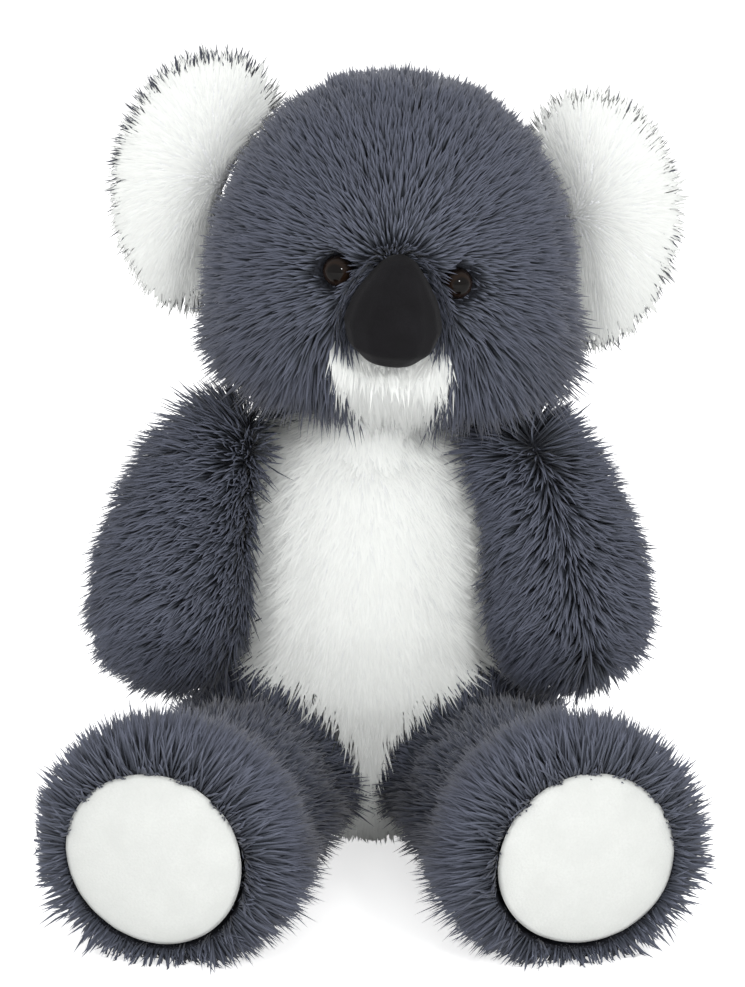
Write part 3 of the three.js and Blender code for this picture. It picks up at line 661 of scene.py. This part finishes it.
def dress(body, filling, comb, depth, rounds, panels):
    """Makes a body's backing over its filling, and the pile of each of its covers. The form is
    smoothed by some rounds. Each panel says how long its locks are, how far they part into tufts
    and stray from the way they are combed, and how far they curl and droop for their length."""
    sizes = bpy.context.scene.koala_pile
    finish = finishes()
    nodes = list(COVERS[body]) + [filling]
    points, faces = closed_form(body, nodes, sizes.voxel, rounds)
    skin, panel = combed_skin(body, points, faces, depth, comb)
    for number, cover in enumerate(COVERS[body]):
        white = cover in WHITE_COVERS
        values = {
            "Panel": number,
            "Spacing": sizes.spacing,
            "Width": sizes.width,
            "Tuft size": sizes.tuft,
            **panels[number],
            "Softness": SOFTNESS["white" if white else "grey"],
            "Lowest": (*(corner - sizes.proud for corner in CAD_BOX[0][:2]), FLOOR_GAP),
            "Highest": tuple(corner + sizes.proud for corner in CAD_BOX[1]),
            "Seed": SEED + number,
            "Material": finish["White polyester pile" if white else "Grey polyester pile"],
        }
        pile = planted(f"{cover}_pile", skin, values)
        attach(pile, body)
        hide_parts(cover)
        # light passes through bleached pile, so its locks don't darken each other
        pile.visible_shadow = pile.visible_diffuse = not white
    whites = [c in WHITE_COVERS for c in COVERS[body]]
    skin.materials.append(finish["Grey knitted backing"])
    skin.materials.append(finish["White knitted backing"])
    skin.polygons.foreach_set("material_index", np.array(whites, np.int32)[panel])
    for extra in ("out", "grow", "pile", "sunk", "cover", "panel"):
        skin.attributes.remove(skin.attributes[extra])
    backing = new_object(f"{body}_backing", skin)
    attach(backing, body)
    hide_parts(filling)


def middle(*nodes):
    """The middle of the box of some CAD nodes."""
    boxes = np.array([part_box(node) for node in nodes])
    return (boxes[:, 0].min(0) + boxes[:, 1].max(0)) / 2


def axis_of(node):
    """The middle and the axis of a turned CAD node. The axis points forward."""
    points = coordinates(frame["nodes"][node].data)
    centre = points.mean(0)
    values, vectors = np.linalg.eigh(np.cov((points - centre).T))
    odd = 0 if values[1] - values[0] > values[2] - values[1] else 2
    axis = vectors[:, odd]
    return centre, axis * -np.sign(axis[1])


# -------------------- pieces

# A body's comb takes the points of its skin and the ways out of it. It returns how steeply the
# locks stand off the skin, the way they are combed, and their length, their cover and the skin's
# depth as shares of the full ones. Its regions run from 0 to 1 between two distances, or between two
# cosines of the way out. Its shares, and its angles in degrees, were judged from the photograph.


class KOALA_OT_torso(bpy.types.Operator):
    """Make the back and belly: knitted backing over filling, with long pile"""

    bl_idname = "koala.torso"
    bl_label = "Torso"

    def execute(self, context):
        sizes = context.scene.koala_pile
        front = middle("belly_panel")

        def comb(points, out):
            side = np.clip((points[:, 0] - front[0]) / (50 * MM), -1, 1)
            belly = ramp(-out[:, 1], 0.1, 0.6)
            edge = belly * ramp(np.abs(side), 0.55, 0.95)
            way = np.outer(side * (0.45 + 1.2 * edge), (1, 0, 0)) - UP
            shoulders = ramp(points[:, 2], 160 * MM, 188 * MM) * (1 - belly)
            lean = np.radians(38 - 12 * belly + 12 * shoulders)
            # shorter between the legs
            seat = belly * (1 - ramp(points[:, 2], 12 * MM, 40 * MM))
            return lean, way, 1 + 0.35 * edge + 0.4 * shoulders - 0.4 * seat, 1, 1

        grey = dict(Length=sizes.body, Tuft=0.9, Stray=0.22, Curl=0.12, Droop=0.05)
        white = dict(Length=sizes.belly, Tuft=1.3, Stray=0.25, Curl=0.16, Droop=0.06)
        dress("torso", "torso_filling", comb, sizes.depth, 20, (grey, grey, white))
        return {"FINISHED"}


class KOALA_OT_head(bpy.types.Operator):
    """Make the head: pile combed out from the nose, shorter round the eyes"""

    bl_idname = "koala.head"
    bl_label = "Head"

    def execute(self, context):
        sizes = context.scene.koala_pile
        nose = middle("nose_cover") + np.array((0, 14 * MM, 0))
        skull = middle("head_side_left", "head_side_right")

        def comb(points, out):
            # out from just above the nose, but down behind, under the nose and over the jowls
            behind = ramp(points[:, 1] - skull[1], 0, 60 * MM)
            way = steered(unit(points - nose - UP * 16 * MM), -UP, behind)
            below = ramp(nose[2] - points[:, 2], 4 * MM, 16 * MM)
            chin = below * (1 - ramp(np.abs(points[:, 0] - nose[0]), 32 * MM, 44 * MM)) * (1 - behind)
            way = steered(way, -UP, 0.75 * chin)
            jowl = ramp(skull[2] - points[:, 2], 15 * MM, 55 * MM)
            front = jowl * ramp(-out[:, 1], 0.2, 0.7)
            way = steered(way, -UP, 0.5 * front)
            # short and flat round the eyes and the nose, and longest on the cheeks
            to_eye = reach_to(("eye_left", "eye_right"), points)
            to_nose = reach_to(("nose_cover",), points)
            short = 0.4 + 0.6 * np.minimum(ramp(to_eye, 0, 14 * MM), 0.6 + 0.4 * ramp(to_nose, 0, 20 * MM))
            lean = 18 + 16 * np.minimum(ramp(to_eye, 0, 16 * MM), ramp(to_nose, 0, 30 * MM))
            lean = np.radians(lean + (18 - 26 * np.maximum(chin, 0.8 * front)) * jowl)
            cheek = jowl * ramp(np.abs(out[:, 0]), 0.4, 0.8)
            pile = short * (1 + 0.6 * jowl + 0.65 * cheek + 0.5 * front)
            return lean, way, pile, ramp(to_eye, 1.0 * MM, 2.2 * MM), 1

        grey = dict(Length=sizes.head, Tuft=0.6, Stray=0.16, Curl=0.12, Droop=0.04)
        white = dict(Length=sizes.muzzle, Tuft=0.6, Stray=0.2, Curl=0.14, Droop=0.1)
        dress("head", "head_filling", comb, sizes.depth, 20, (grey, grey, grey, white))
        return {"FINISHED"}


class KOALA_OT_ears(bpy.types.Operator):
    """Make the ears: white pile in front, grey behind that shows past the rim"""

    bl_idname = "koala.ears"
    bl_label = "Ears"

    def execute(self, context):
        sizes = context.scene.koala_pile
        for side in SIDES:
            root = JOINTS[f"ear_{side}_fold"]
            heart = middle(f"ear_front_{side}", f"ear_back_{side}")

            def comb(points, out):
                way = unit(points - root) + 0.7 * unit(points - heart) - 0.25 * UP
                rim = ramp(1 - np.abs(out[:, 1]), 0.3, 0.8)
                back = ramp(out[:, 1], -0.1, 0.15)
                shown = fringe_at(side, points)
                pile = back * (0.75 * shown - 0.7) + (1 - back) * (0.2 - 0.3 * shown)
                return np.radians(32 - 6 * rim), way, 1 + rim * pile, 1, 1

            white = dict(Length=sizes.ear, Tuft=0.5, Stray=0.2, Curl=0.12, Droop=0.05)
            grey = dict(Length=sizes.ear, Tuft=0.5, Stray=0.25, Curl=0.12, Droop=0.02)
            dress(f"ear_{side}", f"ear_filling_{side}", comb, 0.8 * sizes.depth, 12, (white, grey))
        return {"FINISHED"}


class KOALA_OT_arms(bpy.types.Operator):
    """Make the arms: long pile combed down to the paws"""

    bl_idname = "koala.arms"
    bl_label = "Arms"

    def execute(self, context):
        sizes = context.scene.koala_pile
        # the pile is parted down the front of one arm, and down the inner front of the other
        for side, inward, turn in (("left", -1, -0.2), ("right", 1, 1.6)):
            shoulder = JOINTS[f"arm_{side}_swing"]
            form = np.array(pieces_of(COVERS[f"arm_{side}"])[0])
            # the foremost point that way, near the paw and near the shoulder
            ends = []
            for height in (form[:, 2].min() + 22 * MM, form[:, 2].max() - 9 * MM):
                level = form[np.abs(form[:, 2] - height) < 9 * MM]
                ends.append(level[np.argmin(level[:, 1] - turn * inward * level[:, 0])])

            def comb(points, out):
                span = ends[1] - ends[0]
                along = np.clip((points - ends[0]) @ span / (span @ span), 0, 1)
                way = unit(points - ends[0] - np.outer(along, span)) - np.outer(0.75 - 0.55 * along, UP)
                top = ramp(points[:, 2] - shoulder[2], -15 * MM, 20 * MM)
                inner = ramp(inward * out[:, 0], 0.2, 0.8) * (1 - top)
                lean = np.radians(32 + 16 * top - 12 * inner)
                return lean, way, 1 + 0.35 * top - 0.2 * inner, 1, 1

            grey = dict(Length=sizes.body, Tuft=1.1, Stray=0.2, Curl=0.14, Droop=0.05)
            dress(f"arm_{side}", f"arm_filling_{side}", comb, sizes.depth, 20, (grey, grey))
        return {"FINISHED"}


class KOALA_OT_legs(bpy.types.Operator):
    """Make the legs: long pile combed out and back from the soles"""

    bl_idname = "koala.legs"
    bl_label = "Legs"

    def execute(self, context):
        sizes = context.scene.koala_pile
        for side, inward in (("left", -1), ("right", 1)):
            sole, ahead = axis_of(f"sole_pad_{side}")

            def comb(points, out):
                # out and back from a place ahead of the sole's middle
                way = points - (sole + ahead * 16 * MM)
                along = (points - sole) @ ahead
                outward = unit(points - sole - np.outer(along, ahead))
                foot = ramp(along, -60 * MM, -20 * MM)
                under = ramp(-out[:, 2], 0.2, 0.7)
                to_pad = reach_to((f"sole_pad_{side}",), points)
                # the wall of the hollow that the sole is sewn into
                wall = ramp(-(out * outward).sum(1), 0.0, 0.3) * ramp(along, -25 * MM, -15 * MM)
                way = steered(way, ahead, wall)
                flat = foot * ramp(out @ ahead, 0.3, 0.85)
                # flat on the inner thigh beside the belly, and full below it, where the legs meet
                inner = ramp(inward * out[:, 0], 0.1, 0.6) * (1 - 0.7 * flat) * (1 - wall)
                beside = inner * ramp(out[:, 2], -0.1, 0.3) * (1 - foot)
                below = inner * ramp(-out[:, 2], -0.1, 0.4)
                lean = 42 + 5 * foot - 24 * flat - 18 * beside + 14 * below
                lean = np.radians(lean * (1 - wall) - 12 * wall)
                pile = (1 + 0.14 * foot + 0.1 * flat - 0.15 * beside) * (1 - 0.4 * under) * (1 - 0.45 * wall)
                pile = pile * (1 + 0.4 * below)
                return lean, way, pile, ramp(to_pad, 0.9 * MM, 1.9 * MM), ramp(to_pad, 2 * MM, 16 * MM)

            grey = dict(Length=sizes.body, Tuft=1.1, Stray=0.22, Curl=0.12, Droop=0.04)
            dress(f"leg_{side}", f"leg_filling_{side}", comb, sizes.depth, 20, (grey, grey))
        return {"FINISHED"}


class KOALA_OT_neck(bpy.types.Operator):
    """Make the stuffed neck and its hem"""

    bl_idname = "koala.neck"
    bl_label = "Neck"

    def execute(self, context):
        finish = finishes()
        for name, node, slot, dye in (
            ("neck_plug", "neck_filling", "filling", "White"),
            ("neck_tape", "neck_hem", "hem_tape", "Grey"),
        ):
            points, faces = closed_form(name, [node], 1.5 * MM, 6)
            piece = new_piece(name, points, faces, finish[f"{dye} knitted backing"])
            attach(piece, "neck")
            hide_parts(node)
        return {"FINISHED"}


class KOALA_OT_nose(bpy.types.Operator):
    """Make the stuffed velvet nose"""

    bl_idname = "koala.nose"
    bl_label = "Nose"

    def execute(self, context):
        face = context.scene.koala_face
        points, faces = closed_form("nose", ["nose_cover", "nose_filling"], 1.8 * MM, 12)
        velvet = short_pile_material("Black velvet", face.velvet, linear("#18171a"), 0.7 * MM, 0.05)
        nose = new_piece("nose", points, faces, velvet)
        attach(nose, "head")
        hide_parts("nose_cover", "nose_filling")
        return {"FINISHED"}


def turned(profile, sides, centre, axis):
    """Points and faces of a profile of (radius, height) pairs turned about an axis, closed at both ends."""
    across = unit(np.cross(axis, UP))
    up = np.cross(axis, across)
    points, faces = [], []
    for radius, height in profile[1:-1]:
        for side in range(sides):
            turn = 2 * math.pi * side / sides
            points.append(centre + axis * height + radius * (across * math.cos(turn) + up * math.sin(turn)))
    rings = len(profile) - 2
    for ring in range(rings - 1):
        for side in range(sides):
            a, b = ring * sides + side, ring * sides + (side + 1) % sides
            faces.append((a, b, b + sides, a + sides))
    low, high = len(points), len(points) + 1
    points += [centre + axis * profile[0][1], centre + axis * profile[-1][1]]
    for side in range(sides):
        after, last = (side + 1) % sides, (rings - 1) * sides
        faces.append((after, side, low))
        faces.append((last + side, last + after, high))
    return np.array(points), faces


def eye_material():
    """Moulded plastic eye: black pupil, dark brown iris seen deep in the dome, and a hard,
    mirror-like shine."""
    material, tree = new_material("Moulded eye plastic")
    face = bpy.context.scene.koala_face
    radial = add(tree, "ShaderNodeAttribute", None, {"attribute_name": "radial"})
    place = add(tree, "ShaderNodeTexCoord").outputs["Object"]
    fleck = add(tree, "ShaderNodeTexNoise", {"Vector": place, "Scale": 1 / (1.5 * MM)})
    blur = add(tree, MATH, {0: fleck, 1: 0.1, 2: -0.05}, "MULTIPLY_ADD")
    mixed = add(tree, MATH, {0: radial.outputs["Fac"], 1: blur}, "ADD")
    tone = add(tree, "ShaderNodeValToRGB", {"Fac": mixed})
    dark = linear("#0a0706")
    set_ramp(tone, [(0.45, dark), (0.62, face.iris), (0.8, linear("#160e09")), (0.95, dark)])
    look = {"Base Color": tone, "Roughness": 0.03, "IOR": 1.45, "Specular IOR Level": 0.25}
    add(tree, "ShaderNodeOutputMaterial", {"Surface": add(tree, "ShaderNodeBsdfPrincipled", look)})
    return material


class KOALA_OT_eyes(bpy.types.Operator):
    """Make the domed eyes on their stems, and finish their washers"""

    bl_idname = "koala.eyes"
    bl_label = "Eyes"

    def execute(self, context):
        face = context.scene.koala_face
        plastic = eye_material()
        washer_finish = bpy.data.materials.get("Moulded washer plastic") or washer_material()
        for side in SIDES:
            node = f"eye_{side}"
            centre, axis = axis_of(node)
            reach = (coordinates(frame["nodes"][node].data) - centre) @ axis
            base, back = reach.max() - face.dome, reach.min()
            wide, stem = face.eye / 2, 2.25 * MM
            profile = [(0, back), (stem * 0.8, back), (stem, back + 0.6 * MM), (stem, base - 0.4 * MM)]
            profile += [(wide * 0.9, base - 0.4 * MM), (wide, base)]
            steps = 14
            for step in range(1, steps):
                turn = math.pi / 2 * step / steps
                profile.append((wide * math.cos(turn), base + face.dome * math.sin(turn)))
            profile.append((0, base + face.dome))
            points, faces = turned(profile, 40, centre, axis)
            eye = new_piece(f"eye_dome_{side}", points, faces, plastic)
            flat = points - centre - np.outer((points - centre) @ axis, axis)
            carry(eye.data, "radial", np.linalg.norm(flat, axis=1) / wide)
            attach(eye, "head")
            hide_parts(node)
            washer = frame["nodes"][f"eye_washer_{side}"]
            washer.data.materials.clear()
            washer.data.materials.append(washer_finish)
        return {"FINISHED"}


def washer_material():
    """Natural moulded polythene of the locking washers: waxy, slightly uneven white."""
    material, tree = new_material("Moulded washer plastic")
    place = add(tree, "ShaderNodeTexCoord").outputs["Object"]
    flow = add(tree, "ShaderNodeTexNoise", {"Vector": place, "Scale": 1 / (4 * MM)})
    tone = add(tree, "ShaderNodeValToRGB", {"Fac": flow})
    set_ramp(tone, [(0.3, linear("#dcdcd6")), (0.7, linear("#eaeae6"))])
    look = {"Base Color": tone, "Roughness": 0.45}
    add(tree, "ShaderNodeOutputMaterial", {"Surface": add(tree, "ShaderNodeBsdfPrincipled", look)})
    return material


class KOALA_OT_soles(bpy.types.Operator):
    """Make the smooth filled soles, puckered where they are sewn in"""

    bl_idname = "koala.soles"
    bl_label = "Soles"

    def execute(self, context):
        face = context.scene.koala_face
        plush = short_pile_material("Short smooth plush", linear("#cdcfcc"), face.plush, 0.9 * MM, 0.1)
        sides, rings, wide = 96, 22, face.sole / 2
        for seed, side in enumerate(SIDES):
            centre, axis = axis_of(f"sole_pad_{side}")
            top = ((coordinates(frame["nodes"][f"sole_pad_{side}"].data) - centre) @ axis).max() + 1 * MM
            profile = [(0, top - 5 * MM), (wide * 0.9, top - 5 * MM)]
            # full over the middle, and turning in steeply at the sewn rim, which lies lower
            for share in np.linspace(1, 0.04, rings):
                swell = (1 - share**2.6) ** 0.75
                profile.append((wide * share, top + face.crown * (swell - 0.3)))
            profile.append((0, top + face.crown * 0.7))
            points, faces = turned(profile, sides, centre, axis)
            flat = points - centre
            height = flat @ axis
            flat = flat - np.outer(height, axis)
            radius = np.linalg.norm(flat, axis=1)
            across = unit(np.cross(axis, UP))
            turn = np.arctan2(flat @ np.cross(axis, across), flat @ across)
            # puckers of several counts round the rim, and an outline that isn't quite round
            pucker = sum(np.sin(turn * n + 2.1 * n * (seed + 1)) / n**0.5 for n in (7, 11, 17, 23))
            pucker = pucker * ramp(radius, 0.62 * wide, wide) * ramp(height, top - 4 * MM, top - 1 * MM)
            broad = np.sin(turn * 2 + 1.3 + seed) + 0.6 * np.sin(turn * 3 + 2.2 * seed)
            points = points + np.outer(0.28 * MM * pucker, axis)
            points = points + unit(flat) * (broad * 0.5 * MM * radius / wide)[:, None]
            sole = new_piece(f"sole_{side}", points, faces, plush)
            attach(sole, f"leg_{side}")
            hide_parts(f"sole_pad_{side}")
        return {"FINISHED"}


class KOALA_OT_stage(bpy.types.Operator):
    """Lay the pale floor, set the soft lamps and aim the camera"""

    bl_idname = "koala.stage"
    bl_label = "Stage"

    def execute(self, context):
        scene = context.scene
        scene.view_settings.view_transform = "Standard"
        world = scene.world or bpy.data.worlds.new("Studio")
        scene.world = world
        world.use_nodes = True
        tree = world.node_tree
        tree.nodes.clear()
        ray = add(tree, "ShaderNodeLightPath")
        seen = add(tree, MATH, {0: ray.outputs["Is Camera Ray"], 1: ROOM_LIGHT}, "MAXIMUM")
        glow = add(tree, "ShaderNodeBackground", {"Color": (1, 1, 1, 1), "Strength": seen})
        add(tree, "ShaderNodeOutputWorld", {"Surface": glow})

        # matt card with hardly any grain, which the camera sees a little brighter than the lamps make it
        card, tree = new_material("Matt studio card")
        ray = add(tree, "ShaderNodeLightPath")
        place = add(tree, "ShaderNodeTexCoord").outputs["Object"]
        grain = add(tree, "ShaderNodeTexNoise", {"Vector": place, "Scale": 1 / (2.5 * MM)})
        tone = add(tree, "ShaderNodeValToRGB", {"Fac": grain})
        set_ramp(tone, [(0.3, linear("#f4f4f4")), (0.7, linear("#f8f8f8"))])
        seen = add(tree, MATH, {0: ray.outputs["Is Camera Ray"], 1: FLOOR_LIGHT}, "MULTIPLY")
        look = {"Base Color": tone, "Roughness": 0.95}
        look |= {"Emission Color": (1, 1, 1, 1), "Emission Strength": seen}
        add(tree, "ShaderNodeOutputMaterial", {"Surface": add(tree, "ShaderNodeBsdfPrincipled", look)})
        half = 12.0
        corners = [(-half, -half, 0), (half, -half, 0), (half, half, 0), (-half, half, 0)]
        floor = new_piece("floor", corners, [(0, 1, 2, 3)], card)

        for name, (place, power, side) in LAMPS.items():
            lamp = bpy.data.lights.new(name, "AREA")
            lamp.energy, lamp.size = power, side
            holder = new_object(name, lamp)
            holder.visible_glossy = name == "glint"
            holder.location = place
            holder.rotation_euler = (AIM - Vector(place)).to_track_quat("-Z", "Y").to_euler()

        camera = new_object("camera", bpy.data.cameras.new("camera"))
        off = Vector((0, -math.cos(CAMERA_RISE), math.sin(CAMERA_RISE)))
        camera.location = AIM + CAMERA_DISTANCE * off
        camera.rotation_euler = (math.radians(90) - CAMERA_RISE, 0, 0)
        camera.data.sensor_width, camera.data.lens = SENSOR, LENS_PIXELS / FRAME_HEIGHT * SENSOR
        camera.data.clip_end = 20
        scene.camera = camera
        return {"FINISHED"}


class KOALA_PT_pieces(bpy.types.Panel):
    """The koala's pieces and their sizes"""

    bl_label = "Koala"
    bl_idname = "KOALA_PT_pieces"
    bl_space_type = "VIEW_3D"
    bl_region_type = "UI"
    bl_category = "Koala"

    def draw(self, context):
        for piece in OPERATORS:
            self.layout.operator(piece.bl_idname)
        for group in (context.scene.koala_pile, context.scene.koala_colours, context.scene.koala_face):
            for key in group.__annotations__:
                self.layout.prop(group, key)


OPERATORS = (
    KOALA_OT_stage, KOALA_OT_torso, KOALA_OT_neck, KOALA_OT_head, KOALA_OT_ears,
    KOALA_OT_arms, KOALA_OT_legs, KOALA_OT_nose, KOALA_OT_eyes, KOALA_OT_soles,
)
GROUPS = {"koala_pile": PileSizes, "koala_colours": PileColours, "koala_face": FaceSizes}


def register():
    for group in GROUPS.values():
        bpy.utils.register_class(group)
    for name, group in GROUPS.items():
        setattr(bpy.types.Scene, name, bpy.props.PointerProperty(type=group))
    for piece in (*OPERATORS, KOALA_PT_pieces):
        bpy.utils.register_class(piece)


def unregister():
    for piece in (KOALA_PT_pieces, *reversed(OPERATORS)):
        bpy.utils.unregister_class(piece)
    for name in GROUPS:
        delattr(bpy.types.Scene, name)
    for group in GROUPS.values():
        bpy.utils.unregister_class(group)


def main():
    register()
    for piece in OPERATORS:
        section, name = piece.bl_idname.split(".")
        getattr(getattr(bpy.ops, section), name)()
    bpy.data.objects.remove(bpy.data.objects["lock"])


if __name__ == "__main__":
    main()
